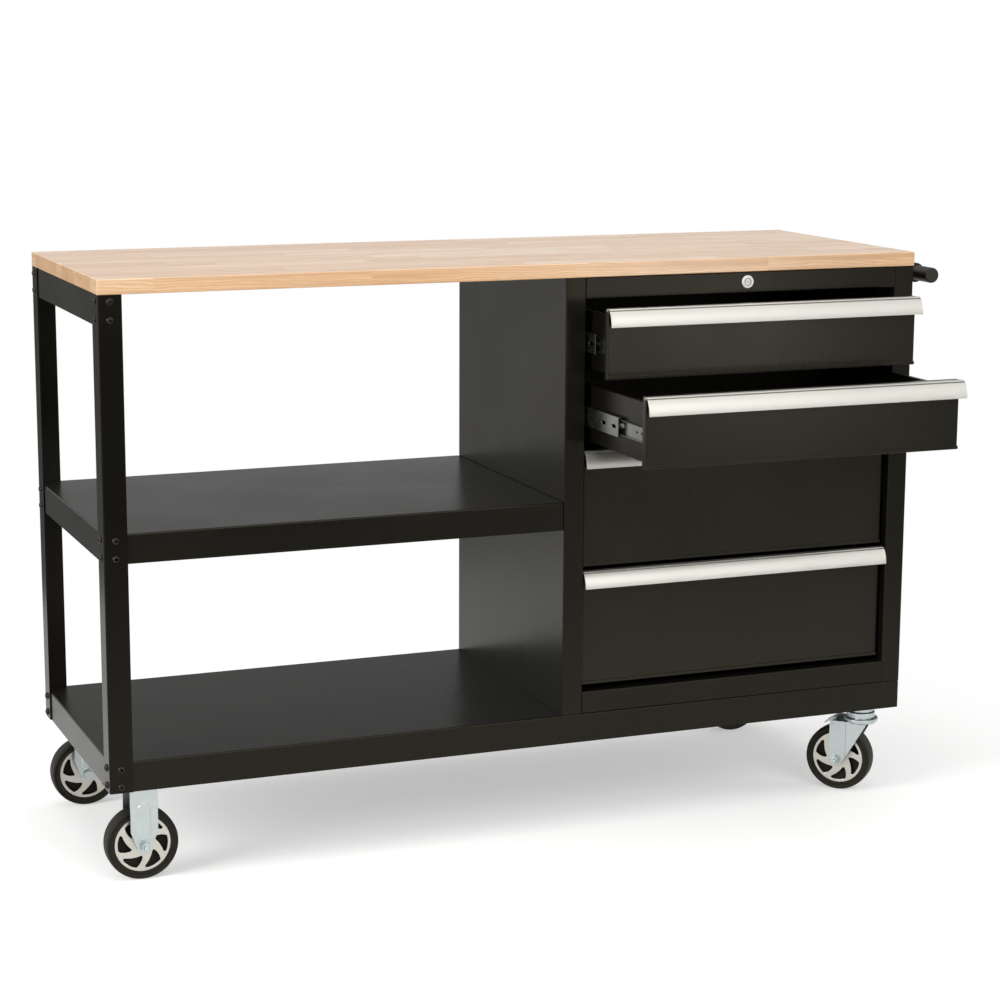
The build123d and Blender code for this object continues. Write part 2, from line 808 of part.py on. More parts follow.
for number, (top, height, opened) in enumerate(zip(drawer_tops, drawer_heights, drawer_opened), start=1):
    bottom = top - height
    panel_y = panel_closed - opened
    tray_front_y = panel_y + front_return
    tray_back_y = tray_back - opened
    tray_low = bottom + tray_floor_gap
    tray_high = top - tray_top_gap
    catch_z = drawer_levels[number - 1]
    with BuildPart() as tray:
        block((tray_left, tray_front_y, tray_low), (tray_right, tray_back_y, tray_high))
        block(
            (tray_left + tray_sheet, tray_front_y + tray_sheet, tray_low + tray_sheet),
            (tray_right - tray_sheet, tray_back_y - tray_sheet, tray_high - tray_sheet),
            mode=Mode.SUBTRACT,
        )
        block(
            (tray_left + tray_rim, tray_front_y + tray_rim, tray_high - 2 * tray_sheet),
            (tray_right - tray_rim, tray_back_y - tray_rim, tray_high + 1),
            mode=Mode.SUBTRACT,
        )
        catch_left = lock_x - catch_half_width
        catch_right = lock_x + catch_half_width
        catch_back = tray_back_y + catch_depth
        block((catch_left, tray_back_y, catch_z - catch_sheet), (catch_right, catch_back, catch_z))
        lip_front = catch_back - catch_sheet
        block((catch_left, lip_front, catch_z - catch_lip), (catch_right, catch_back, catch_z))
    tray.part.label = f"drawer_{number}_tray"
    export_step(tray.part, f"parts/drawer_{number}_tray.step")

    with BuildPart() as front:
        block((front_left, panel_y, bottom), (front_right, tray_front_y, top))
        fillet(front.faces().sort_by(Axis.Y)[0].edges().filter_by(Axis.Z), bend_radius)
        offset(amount=-tray_sheet, openings=front.faces().sort_by(Axis.Y)[-1])
        block((front_left, panel_y - hem_depth, bottom), (front_right, panel_y, bottom + hem_height))
        fillet(front.faces().sort_by(Axis.Y)[0].edges().filter_by(Axis.X), hem_rounding)
    front.part.label = f"drawer_{number}_front"
    export_step(front.part, f"parts/drawer_{number}_front.step")

    with BuildPart() as handle:
        with BuildSketch(Plane.YZ.offset(cabinet_middle - handle_length / 2)):
            with BuildLine():
                Line((panel_y, top), (panel_y - handle_flange, top))
                middle_drop = handle_drop / 2
                ThreePointArc(
                    (panel_y - handle_flange, top),
                    (panel_y - curve_depth(curve_radius, middle_drop), top - middle_drop),
                    (panel_y - handle_reach, top - handle_drop),
                )
                Line(
                    (panel_y - handle_reach, top - handle_drop),
                    (panel_y - handle_reach + handle_wall, top - handle_drop),
                )
                ThreePointArc(
                    (panel_y - handle_reach + handle_wall, top - handle_drop),
                    (panel_y - curve_depth(curve_inner, middle_drop), top - middle_drop),
                    (panel_y - curve_depth(curve_inner, handle_wall), top - handle_wall),
                )
                Polyline(
                    (panel_y - curve_depth(curve_inner, handle_wall), top - handle_wall),
                    (panel_y - handle_wall, top - handle_wall),
                    (panel_y - handle_wall, top - handle_back),
                    (panel_y, top - handle_back),
                    (panel_y, top),
                )
            make_face()
        extrude(amount=handle_length)
        groove_y = panel_y - curve_depth(curve_radius, handle_groove_drop)
        groove_z = top - handle_groove_drop
        half_groove = handle_groove / 2
        block(
            (cabinet_middle - handle_length, groove_y - handle_groove, groove_z - half_groove),
            (cabinet_middle + handle_length, groove_y + half_groove, groove_z + half_groove),
            mode=Mode.SUBTRACT,
        )
    handle.part.label = f"drawer_{number}_handle"
    export_step(handle.part, f"parts/drawer_{number}_handle.step")

# Fixed casters at the left end: plate and cheeks pressed as one fork, with a raised rib on each cheek
axle_height = wheel_radius
plate_bottom = mount_level - caster_plate
cheek_inside = fork_inside / 2
cheek_outside = cheek_inside + fork_sheet
cheek_straight_end = axle_height + cheek_taper_rise
rib_bottom = axle_height + rib_above_axle
with BuildPart() as fixed_forks:
    for y in fixed_places:
        block(
            (wheel_left_x - caster_plate_x / 2, y - fixed_plate_y / 2, plate_bottom),
            (wheel_left_x + caster_plate_x / 2, y + fixed_plate_y / 2, mount_level),
        )
        for side in (-1, 1):
            cheek_origin = (wheel_left_x, y + side * cheek_inside, 0)
            with BuildSketch(Plane(cheek_origin, x_dir=(1, 0, 0), z_dir=(0, -1, 0))):
                with Locations((0, axle_height)):
                    Circle(cheek_end_radius)
                with Locations((0, (cheek_straight_end + plate_bottom) / 2)):
                    Rectangle(fixed_fork_width, plate_bottom - cheek_straight_end)
                make_hull()
            extrude(amount=-side * fork_sheet)
            rib_origin = (wheel_left_x, y + side * cheek_outside, 0)
            with BuildSketch(Plane(rib_origin, x_dir=(1, 0, 0), z_dir=(0, -1, 0))):
                with Locations((0, (rib_top + rib_bottom) / 2)):
                    SlotOverall(rib_top - rib_bottom, rib_width, rotation=90)
            extrude(amount=-side * rib_height, taper=rib_taper)
    drill_caster_bolts(fixed_bolt_places)
    with Locations(Plane((wheel_left_x, y_middle, axle_height), z_dir=(0, 1, 0))):
        Cylinder(axle_radius + running_gap, bench_depth, mode=Mode.SUBTRACT)
fixed_forks.part.label = "fixed_caster_forks"
export_step(fixed_forks.part, "parts/fixed_caster_forks.step")

# One axle along +Z: bolt head at its foot, nut and thread end at the other, middle of the wheel at zero
with BuildPart() as axle:
    Cylinder(axle_radius, 2 * cheek_outside)
    with BuildSketch(Plane.XY.offset(-cheek_outside)):
        RegularPolygon(axle_hex_radius, 6)
    extrude(amount=-axle_head_height)
    with BuildSketch(Plane.XY.offset(cheek_outside)):
        RegularPolygon(axle_hex_radius, 6)
    extrude(amount=axle_nut_height)
    with Locations((0, 0, cheek_outside)):
        Cylinder(axle_radius, axle_thread_length, align=upwards)
    chamfer(axle.edges().filter_by(GeomType.CIRCLE).sort_by(Axis.Z)[-1], axle_chamfer)

with BuildPart() as fixed_axles:
    with Locations(
        Plane((wheel_left_x, fixed_places[0], axle_height), z_dir=(0, -1, 0)),
        Plane((wheel_left_x, fixed_places[1], axle_height), z_dir=(0, 1, 0)),
    ):
        add(axle.part)
fixed_axles.part.label = "fixed_caster_axles"
export_step(fixed_axles.part, "parts/fixed_caster_axles.step")

# Swivel casters at the right end: fixed top plates with the upper race and the king pin
race_bottom = plate_bottom - race_height
fork_race_top = race_bottom - race_gap
neck_top = fork_race_top - fork_race_height
crown_top = neck_top - neck_height
crown_bottom = crown_top - crown_height
king_head_top = crown_bottom - king_head_gap
with BuildPart() as swivel_plates:
    for y in swivel_places:
        with Locations((swivel_x, y, plate_bottom)):
            Cylinder(race_radius, race_height, align=downwards)
    fillet(swivel_plates.edges().filter_by(GeomType.CIRCLE).group_by(Axis.Z)[0], race_rounding)
    for y in swivel_places:
        block(
            (swivel_x - caster_plate_x / 2, y - swivel_plate_y / 2, plate_bottom),
            (swivel_x + caster_plate_x / 2, y + swivel_plate_y / 2, mount_level),
        )
        with Locations((swivel_x, y, plate_bottom)):
            Cylinder(king_pin_radius, plate_bottom - king_head_top, align=downwards)
        with Locations((swivel_x, y, king_head_top)):
            Cylinder(king_head_radius, king_head_height, align=downwards)
    drill_caster_bolts(swivel_bolt_places)
swivel_plates.part.label = "swivel_caster_plates"
export_step(swivel_plates.part, "parts/swivel_caster_plates.step")

# One swivel fork about its king pin, trailing along +X: lower race, crown, and cheeks with a bent wing
with BuildSketch() as cheek_outline:
    with Locations((swivel_trail, axle_height)):
        Circle(cheek_end_radius)
    with Locations(((fork_toe + fork_heel) / 2, crown_bottom)):
        Rectangle(fork_heel - fork_toe, fork_band)
    make_hull()

cut_height = 4 * wheel_radius
with BuildPart() as fork:
    with Locations((0, 0, crown_top)):
        Cylinder(crown_radius, crown_height, align=downwards)
    fillet(fork.edges().filter_by(GeomType.CIRCLE).sort_by(Axis.Z)[0], crown_rounding)
    with Locations((0, 0, neck_top)):
        Cylinder(neck_radius, neck_height, align=downwards)
        Cylinder(fork_race_radius, fork_race_height, align=upwards)
    bridge_top = crown_bottom + bridge_sheet
    block((bridge_start, -cheek_inside, crown_bottom), (bridge_end, cheek_inside, bridge_top))
    for side in (-1, 1):
        flat_origin = (0, side * cheek_inside, 0)
        with BuildSketch(Plane(flat_origin, x_dir=(1, 0, 0), z_dir=(0, -1, 0))):
            add(cheek_outline.sketch)
            with Locations((wing_bend - wing_overlap, axle_height)):
                Rectangle(wheel_radius, cut_height, align=(Align.MAX, Align.CENTER), mode=Mode.SUBTRACT)
        extrude(amount=-side * fork_sheet)
        wing_plane = Plane(
            (wing_bend, side * cheek_inside, 0),
            x_dir=Vector(1, 0, 0).rotate(Axis.Z, side * wing_turn),
            z_dir=Vector(0, -1, 0).rotate(Axis.Z, side * wing_turn),
        )
        with BuildSketch(wing_plane):
            with Locations((-wing_bend, 0)):
                add(cheek_outline.sketch)
            with Locations((0, axle_height)):
                Rectangle(wheel_radius, cut_height, align=(Align.MIN, Align.CENTER), mode=Mode.SUBTRACT)
        extrude(amount=-side * fork_sheet)
    with Locations((0, 0, crown_top)):
        Cylinder(king_pin_radius + running_gap, wheel_radius, mode=Mode.SUBTRACT)
    with Locations(Plane((swivel_trail, 0, axle_height), z_dir=(0, 1, 0))):
        Cylinder(axle_radius + running_gap, 2 * fork_inside, mode=Mode.SUBTRACT)
    with Locations(Plane((pedal_pivot_x, 0, pedal_pivot_z), z_dir=(0, 1, 0))):
        Cylinder(pedal_pin_radius + running_gap, 2 * fork_inside, mode=Mode.SUBTRACT)

# One brake pedal on its pin, pressed down, in the same frame as the fork
with BuildPart() as pedal:
    with Locations(Plane((pedal_pivot_x, 0, pedal_pivot_z), z_dir=(0, 1, 0))):
        Cylinder(pedal_pin_radius, 2 * cheek_outside + 2 * pedal_pin_past_cheek)
        Cylinder(pedal_boss_radius, 2 * pedal_half_width)
    pedal_origin = (pedal_pivot_x, pedal_half_width, pedal_pivot_z)
    with BuildSketch(Plane(pedal_origin, x_dir=(1, 0, 0), z_dir=(0, -1, 0))):
        with BuildLine():
            Polyline(*pedal_outline, close=True)
        make_face()
    extrude(amount=2 * pedal_half_width)


# Wheel about +Z: tyre with its web, then the hub and its two pierced discs
def polar(radius, degrees):
    """Point on the wheel's face, at a radius and an angle."""
    return (radius * cos(radians(degrees)), radius * sin(radians(degrees)))


with BuildPart() as tyre:
    Cylinder(wheel_radius, wheel_width)
    fillet(tyre.edges().filter_by(GeomType.CIRCLE), tyre_rounding)
    with Locations((0, 0, web_thickness / 2)):
        Cylinder(rim_radius, wheel_width, align=upwards, mode=Mode.SUBTRACT)
    with Locations((0, 0, -web_thickness / 2)):
        Cylinder(rim_radius, wheel_width, align=downwards, mode=Mode.SUBTRACT)
    Cylinder(hub_radius + rim_play, wheel_width, mode=Mode.SUBTRACT)

with BuildSketch() as window:
    corner = polar(window_outer, 0)
    heel = polar(window_outer, window_span)
    tip = polar(window_tip_radius, window_tip_angle)
    with BuildLine():
        ThreePointArc(corner, polar(window_outer, window_span / 2), heel)
        ThreePointArc(heel, polar(window_side_radius, window_side_angle), tip)
        ThreePointArc(tip, polar(window_bow_radius, window_bow_angle), corner)
    make_face()
    fillet(window.vertices(), window_rounding)
back_window = mirror(window.sketch, about=Plane.XZ)

with BuildPart() as hub:
    Cylinder(hub_radius, hub_length)
    for face_height, opening in (
        (rim_face, window.sketch),
        (rim_disc - rim_face, back_window),
    ):
        with BuildSketch(Plane.XY.offset(face_height)):
            Circle(rim_radius - rim_play)
            with PolarLocations(0, window_count):
                add(opening, mode=Mode.SUBTRACT)
        extrude(amount=-rim_disc)
    Cylinder(axle_radius + running_gap, 2 * hub_length, mode=Mode.SUBTRACT)

# Place a wheel at every caster, and a fork, axle and pedal at both swivel casters
wheel_names = ("front_left", "back_left", "front_right", "back_right")
caster_places = [(wheel_left_x, y) for y in fixed_places] + [(swivel_x, y) for y in swivel_places]
outward_sides = (-1, 1, -1, -1)
trailing_angles = (0, 0, 180 - swivel_turned, 180)
for name, (x, y), outward, angle, rolled in zip(
    wheel_names, caster_places, outward_sides, trailing_angles, wheels_rolled
):
    swivels = x > cabinet_left
    trail = Vector(swivel_trail, 0, 0).rotate(Axis.Z, angle) if swivels else Vector(0, 0, 0)
    turned = angle - 180 if swivels else 0
    axle_direction = Vector(0, outward, 0).rotate(Axis.Z, turned)
    wheel_plane = Plane(Vector(x, y, axle_height) + trail, x_dir=(0, 0, 1), z_dir=axle_direction)
    with BuildPart() as placed_tyre:
        with Locations(wheel_plane):
            add(tyre.part)
    placed_tyre.part.label = f"tyre_{name}"
    export_step(placed_tyre.part, f"parts/tyre_{name}.step")

    with BuildPart() as placed_hub:
        with Locations(wheel_plane.location * Rotation(0, 0, rolled)):
            add(hub.part)
    placed_hub.part.label = f"hub_{name}"
    export_step(placed_hub.part, f"parts/hub_{name}.step")

    if swivels:
        fork_place = Location((x, y, 0), (0, 0, angle))
        with BuildPart() as placed_fork:
            with Locations(fork_place):
                add(fork.part)
        placed_fork.part.label = f"swivel_fork_{name}"
        export_step(placed_fork.part, f"parts/swivel_fork_{name}.step")

        with BuildPart() as placed_axle:
            with Locations(wheel_plane):
                add(axle.part)
        placed_axle.part.label = f"swivel_axle_{name}"
        export_step(placed_axle.part, f"parts/swivel_axle_{name}.step")

        with BuildPart() as placed_pedal:
            with Locations(fork_place):
                add(pedal.part)
        placed_pedal.part.label = f"brake_pedal_{name}"
        export_step(placed_pedal.part, f"parts/brake_pedal_{name}.step")
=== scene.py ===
import json
from math import cos, pi, radians, sin

import bmesh
import bpy
from mathutils import Matrix, Vector
from mathutils.bvhtree import BVHTree

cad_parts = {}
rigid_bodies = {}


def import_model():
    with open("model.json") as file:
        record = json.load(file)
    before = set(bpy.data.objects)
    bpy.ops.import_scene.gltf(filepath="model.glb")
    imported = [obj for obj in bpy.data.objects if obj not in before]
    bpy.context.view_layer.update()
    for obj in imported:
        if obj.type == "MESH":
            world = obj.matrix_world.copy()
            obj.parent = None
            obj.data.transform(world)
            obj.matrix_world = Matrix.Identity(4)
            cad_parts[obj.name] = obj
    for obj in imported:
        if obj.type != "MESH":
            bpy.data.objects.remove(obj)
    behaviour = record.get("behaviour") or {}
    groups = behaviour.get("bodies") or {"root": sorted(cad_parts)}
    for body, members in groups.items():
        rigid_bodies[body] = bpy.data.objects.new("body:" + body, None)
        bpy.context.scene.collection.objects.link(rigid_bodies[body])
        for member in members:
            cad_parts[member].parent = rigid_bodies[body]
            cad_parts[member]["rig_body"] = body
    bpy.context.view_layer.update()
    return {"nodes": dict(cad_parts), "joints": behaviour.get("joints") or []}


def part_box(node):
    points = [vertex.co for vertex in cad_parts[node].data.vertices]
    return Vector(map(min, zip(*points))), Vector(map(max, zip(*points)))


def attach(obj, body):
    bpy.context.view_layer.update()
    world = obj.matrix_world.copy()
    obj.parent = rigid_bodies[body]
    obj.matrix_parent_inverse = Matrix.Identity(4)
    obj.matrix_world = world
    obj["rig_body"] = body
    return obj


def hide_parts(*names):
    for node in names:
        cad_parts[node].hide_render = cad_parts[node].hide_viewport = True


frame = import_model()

nodes = frame["nodes"]
MM = 0.001

# Worktop: one board of beech staves, finger-jointed end to end and glued edge to edge.
# It is sanded and lacquered, lies on the frame, and wood screws hold it from below.


def linear(hex_colour):
    """sRGB hex colour as linear red, green, blue and alpha."""
    channels = [int(hex_colour[i : i + 2], 16) / 255 for i in (1, 3, 5)]
    return tuple(c / 12.92 if c <= 0.04045 else ((c + 0.055) / 1.055) ** 2.4 for c in channels) + (1.0,)


def put(tree, kind, sockets=None, **settings):
    """Adds one node; each named socket takes a value, or a link from another node's output."""
    node = tree.nodes.new(kind)
    for name, value in settings.items():
        setattr(node, name, value)
    for name, value in (sockets or {}).items():
        if isinstance(value, bpy.types.NodeSocket):
            tree.links.new(value, node.inputs[name])
        else:
            node.inputs[name].default_value = value
    return node


def new_material(name):
    """Material with an empty tree; returns it with its tree and its object coordinates."""
    material = bpy.data.materials.new(name)
    material.use_nodes = True
    tree = material.node_tree
    tree.nodes.clear()
    return material, tree, put(tree, "ShaderNodeTexCoord").outputs["Object"]


def dress(material, *names):
    """Gives a material to CAD nodes."""
    for name in names:
        nodes[name].data.materials.clear()
        nodes[name].data.materials.append(material)


weld_gap = 0.001 * MM
same_plane = radians(0.5)
edge_turn = radians(35)
crease_turn = radians(40)
round_profile = 0.5
flat_face_weight = 100


def rounded(material, slot, radius, *names, steps=2):
    """Makes CAD nodes again with their sharp edges rounded, each to stand in for its node."""
    for name in names:
        shape = bmesh.new()
        shape.from_mesh(nodes[name].data)
        bmesh.ops.remove_doubles(shape, verts=shape.verts, dist=weld_gap)
        bmesh.ops.dissolve_limit(shape, angle_limit=same_plane, verts=shape.verts, edges=shape.edges)
        sharp = [edge for edge in shape.edges if edge.calc_face_angle(0) > edge_turn]
        solid = BVHTree.FromBMesh(shape)
        bmesh.ops.bevel(
            shape,
            geom=sharp,
            offset=radius,
            offset_type="OFFSET",
            segments=steps,
            profile=round_profile,
            affect="EDGES",
            clamp_overlap=False,
        )
        # A corner that the rounding throws past the sheet is drawn back to the solid's surface.
        for vertex in shape.verts:
            spot, _, _, gap = solid.find_nearest(vertex.co)
            if gap > radius:
                vertex.co = spot
        for face in shape.faces:
            face.smooth = True
        mesh = bpy.data.meshes.new(f"{name}_edged")
        shape.to_mesh(mesh)
        shape.free()
        for layer in ("custom_normal", "UVMap"):
            if layer in mesh.attributes:
                mesh.attributes.remove(mesh.attributes[layer])
        mesh.set_sharp_from_angle(angle=crease_turn)
        mesh.materials.clear()
        mesh.materials.append(material)
        piece = bpy.data.objects.new(f"{name}_edged", mesh)
        bpy.context.collection.objects.link(piece)
        shading = piece.modifiers.new("flat faces stay flat", "WEIGHTED_NORMAL")
        shading.keep_sharp = True
        shading.weight = flat_face_weight
        bpy.context.view_layer.update()
        evaluated = piece.evaluated_get(bpy.context.evaluated_depsgraph_get())
        flat_shaded = bpy.data.meshes.new_from_object(evaluated)
        piece.modifiers.clear()
        piece.data = flat_shaded
        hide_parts(name)
        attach(piece, nodes[name]["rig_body"])


# Beech shows pale pinkish staves, each a little different, with rings, broad bands and fine dark pores.
# The pores are drawn wider than real ones so that they show. The lacquer over them is even and half glossy.
stave_width = 43 * MM
stave_length = 370 * MM
row_shift = 3.0
stave_tones = ((0.0, "#D3A06C"), (0.35, "#E0B382"), (0.7, "#E8C094"), (1.0, "#F0D0A8"))
grain_colour = "#B47E4C"
pith_spread = (0.9, 0.10, 0.16)
ring_width = 4.5 * MM
ring_stretch = (0.05, 1.0, 1.0)
ring_span = (0.35, 0.95)
ring_depth = 0.5
pore_size = (30 * MM, 0.9 * MM, 0.9 * MM)
pore_span = (0.50, 0.78)
pore_depth = 0.6
band_size = (420 * MM, 11 * MM, 11 * MM)
band_span = (0.38, 0.72)
band_depth = 0.6
sway_size = (260 * MM, 38 * MM, 38 * MM)
sway_reach = (0.0, 30 * MM, 30 * MM)
noise_middle = (0.5, 0.5, 0.5)
noise_detail = 3.0
wood_gloss = (0.36, 0.52)
pore_relief = 0.15
pore_relief_depth = 0.1 * MM
lacquer_weight = 1.0
lacquer_roughness = 0.22

beech, tree, place = new_material("lacquered finger-jointed beech")
axes = put(tree, "ShaderNodeSeparateXYZ", {0: place})
row = put(tree, "ShaderNodeMath", {0: axes.outputs["Y"], 1: stave_width}, operation="DIVIDE")
row = put(tree, "ShaderNodeMath", {0: row.outputs[0]}, operation="FLOOR")
row_chance = put(tree, "ShaderNodeTexWhiteNoise", {"W": row.outputs[0]}, noise_dimensions="1D")
shift = put(tree, "ShaderNodeMath", {0: row_chance.outputs["Value"], 1: row_shift}, operation="MULTIPLY")
joint = put(tree, "ShaderNodeMath", {0: axes.outputs["X"], 1: stave_length}, operation="DIVIDE")
joint = put(tree, "ShaderNodeMath", {0: joint.outputs[0], 1: shift.outputs[0]}, operation="ADD")
joint = put(tree, "ShaderNodeMath", {0: joint.outputs[0]}, operation="FLOOR")
stave = put(tree, "ShaderNodeCombineXYZ", {"X": row.outputs[0], "Y": joint.outputs[0]})
chance = put(tree, "ShaderNodeTexWhiteNoise", {"Vector": stave.outputs[0]}, noise_dimensions="2D")
pith = put(tree, "ShaderNodeVectorMath", {0: chance.outputs["Color"], 1: noise_middle}, operation="SUBTRACT")
pith = put(tree, "ShaderNodeVectorMath", {0: pith.outputs[0], 1: pith_spread}, operation="MULTIPLY")
sawn = put(tree, "ShaderNodeVectorMath", {0: place, 1: pith.outputs[0]}, operation="ADD").outputs[0]
grown = []
for size in (sway_size, pore_size, band_size):
    stretch = tuple(1 / length for length in size)
    stretched = put(tree, "ShaderNodeMapping", {"Vector": sawn, "Scale": stretch}, vector_type="POINT")
    growth = {"Vector": stretched.outputs[0], "Scale": 1.0, "Detail": noise_detail}
    grown.append(put(tree, "ShaderNodeTexNoise", growth))
sway, pores, bands = grown
wander = put(tree, "ShaderNodeVectorMath", {0: sway.outputs["Color"], 1: noise_middle}, operation="SUBTRACT")
wander = put(tree, "ShaderNodeVectorMath", {0: wander.outputs[0], 1: sway_reach}, operation="MULTIPLY")
tree_ring = put(tree, "ShaderNodeVectorMath", {0: sawn, 1: wander.outputs[0]}, operation="ADD")
tree_ring = put(tree, "ShaderNodeVectorMath", {0: tree_ring.outputs[0], 1: ring_stretch}, operation="MULTIPLY")
tree_ring = put(tree, "ShaderNodeVectorMath", {0: tree_ring.outputs[0]}, operation="LENGTH")
ring = put(tree, "ShaderNodeMath", {0: tree_ring.outputs["Value"], 1: ring_width}, operation="DIVIDE")
ring = put(tree, "ShaderNodeMath", {0: ring.outputs[0]}, operation="FRACT")
marks = []
for source, (low, high), depth in (
    (ring.outputs[0], ring_span, ring_depth),
    (pores.outputs["Fac"], pore_span, pore_depth),
    (bands.outputs["Fac"], band_span, band_depth),
):
    span = {"Value": source, "From Min": low, "From Max": high, "To Max": depth}
    marks.append(put(tree, "ShaderNodeMapRange", span, interpolation_type="SMOOTHSTEP").outputs[0])
mark = put(tree, "ShaderNodeMath", {0: marks[0], 1: marks[1]}, operation="MAXIMUM")
mark = put(tree, "ShaderNodeMath", {0: mark.outputs[0], 1: marks[2]}, operation="MAXIMUM")
tone = put(tree, "ShaderNodeValToRGB", {"Fac": chance.outputs["Value"]})
for position, _ in stave_tones[1:-1]:
    tone.color_ramp.elements.new(position)
for element, (position, colour) in zip(tone.color_ramp.elements, stave_tones):
    element.position = position
    element.color = linear(colour)
blend = {0: mark.outputs[0], 6: tone.outputs[0], 7: linear(grain_colour)}
grain = put(tree, "ShaderNodeMix", blend, data_type="RGBA")
span = {"Value": pores.outputs["Fac"], "To Min": wood_gloss[0], "To Max": wood_gloss[1]}
gloss = put(tree, "ShaderNodeMapRange", span)
bump = {"Strength": pore_relief, "Distance": pore_relief_depth, "Height": pores.outputs["Fac"]}
relief = put(tree, "ShaderNodeBump", bump)
wood = {"Base Color": grain.outputs[2], "Roughness": gloss.outputs[0], "Normal": relief.outputs[0]}
lacquer = {
    "Coat Weight": lacquer_weight,
    "Coat Roughness": lacquer_roughness,
    "Coat Normal": relief.outputs[0],
}
skin = put(tree, "ShaderNodeBsdfPrincipled", {**wood, **lacquer})
put(tree, "ShaderNodeOutputMaterial", {"Surface": skin.outputs[0]})
worktop_edge = 2.2 * MM
rounded(beech, "worktop_wood", worktop_edge, "worktop", steps=3)

# Steel frame: angle legs, an end rail, two folded tray shelves and the channels that carry the casters.
# Pressed and folded from sheet, then powder coated in a warm satin black with a fine orange peel.
peel_pitch = 4 * MM
peel_detail = 2.0
peel_relief = 0.1
peel_depth = 0.1 * MM
mottle_size = 160 * MM
mottle_detail = 4.0
mottle_shade = (0.8, 1.2)
mottle_gloss = 0.05
coat_glint = "#FFF3D9"


def powder_coat(name, colour, roughness, sheen=0.28):
    """Satin coat, a little mottled, its orange peel drawn at about twice the real pitch so that it shows."""
    material, tree, place = new_material(name)
    grit = {"Vector": place, "Scale": 1 / peel_pitch, "Detail": peel_detail}
    peel = put(tree, "ShaderNodeTexNoise", grit)
    clouds = {"Vector": place, "Scale": 1 / mottle_size, "Detail": mottle_detail}
    mottle = put(tree, "ShaderNodeTexNoise", clouds)
    span = {"Value": mottle.outputs["Fac"], "To Min": mottle_shade[0], "To Max": mottle_shade[1]}
    shade = put(tree, "ShaderNodeMapRange", span)
    tint = {0: linear(colour)[:3], 1: shade.outputs[0]}
    coat = put(tree, "ShaderNodeVectorMath", tint, operation="MULTIPLY")
    span = {
        "Value": mottle.outputs["Fac"],
        "To Min": roughness - mottle_gloss,
        "To Max": roughness + mottle_gloss,
    }
    gloss = put(tree, "ShaderNodeMapRange", span)
    bump = {"Strength": peel_relief, "Distance": peel_depth, "Height": peel.outputs["Fac"]}
    relief = put(tree, "ShaderNodeBump", bump)
    paint = {"Base Color": coat.outputs[0], "Roughness": gloss.outputs[0], "Normal": relief.outputs[0]}
    glint = {"Specular IOR Level": sheen, "Specular Tint": linear(coat_glint)}
    skin = put(tree, "ShaderNodeBsdfPrincipled", {**paint, **glint})
    put(tree, "ShaderNodeOutputMaterial", {"Surface": skin.outputs[0]})
    return material


frame_coat = powder_coat("satin black powder coat on frame steel", "#11100D", roughness=0.28, sheen=0.2)
# The legs have the same coat as the frame, painted darker and given less sheen, as painted shade.
legs_painted_shade_coat = powder_coat("satin black powder coat on leg steel", "#0A0908", roughness=0.28, sheen=0.17)
leg_edge = 0.6 * MM
sheet_edge = 0.4 * MM
dress(frame_coat, "caster_channels")
rounded(legs_painted_shade_coat, "frame_paint", leg_edge, "leg_front_left", "leg_back_left")
rounded(frame_coat, "frame_paint", sheet_edge, "top_end_rail", "middle_shelf", "base_shelf")

# Bolts: domed socket bolts in black oxide hold the legs to the rail and the shelves.
# Zinc-plated screws hold the worktop from below, and zinc-plated bolts the casters.
cloud_detail = 4.0
cloud_shade = (0.9, 1.08)
cloud_gloss = 0.08


def plated_steel(name, colour, roughness, cloud_size):
    """Plated metal: bright, with faint clouds in its colour and gloss."""
    material, tree, place = new_material(name)
    clouds = {"Vector": place, "Scale": 1 / cloud_size, "Detail": cloud_detail}
    cloud = put(tree, "ShaderNodeTexNoise", clouds)
    span = {"Value": cloud.outputs["Fac"], "To Min": cloud_shade[0], "To Max": cloud_shade[1]}
    shade = put(tree, "ShaderNodeMapRange", span)
    tint = {0: linear(colour)[:3], 1: shade.outputs[0]}
    plate = put(tree, "ShaderNodeVectorMath", tint, operation="MULTIPLY")
    span = {
        "Value": cloud.outputs["Fac"],
        "To Min": roughness - cloud_gloss,
        "To Max": roughness + cloud_gloss,
    }
    gloss = put(tree, "ShaderNodeMapRange", span)
    metal = {"Base Color": plate.outputs[0], "Metallic": 1.0, "Roughness": gloss.outputs[0]}
    skin = put(tree, "ShaderNodeBsdfPrincipled", metal)
    put(tree, "ShaderNodeOutputMaterial", {"Surface": skin.outputs[0]})
    return material


# Black oxide is a dull even black; zinc plate is a cool bright grey.
black_oxide = powder_coat("black oxide on bolt steel", "#131312", roughness=0.34)
bolt_edge = 0.3 * MM
rounded(black_oxide, "black_bolt", bolt_edge, "frame_bolts")
zinc = plated_steel("bright zinc plate on steel", "#BAC2C2", roughness=0.34, cloud_size=9 * MM)
dress(zinc, "worktop_screws", "caster_bolts")

# Drawer cabinet: two folded sides with their stiles, a back, a header, a sill and four posts for the slides.
# All in the same coat as the frame and standing on the base shelf.
# A bead of paint closes the seam between the right side's foot and the base's rounded bend.
rounded(frame_coat, "frame_paint", sheet_edge, "cabinet_left_side", "cabinet_right_side")
rounded(frame_coat, "frame_paint", sheet_edge, "cabinet_header", "cabinet_sill")
dress(frame_coat, "cabinet_back", "slide_posts")
side_sheet = 1.2 * MM
bead_width = 2.5 * MM
bead_height = 2 * MM
bead_sag = 0.6 * MM
low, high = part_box("cabinet_right_side")
wall = high[0] - side_sheet
bead_section = ((wall, low[2] + bead_height), (wall - bead_width, low[2]), (wall, low[2] - bead_sag))
bead_points = [(x, y, z) for y in (low[1] + side_sheet, high[1] - side_sheet) for x, z in bead_section]
bead_faces = [(0, 1, 2), (5, 4, 3), (0, 3, 4, 1), (1, 4, 5, 2), (2, 5, 3, 0)]
bead_mesh = bpy.data.meshes.new("cabinet_seam_bead")
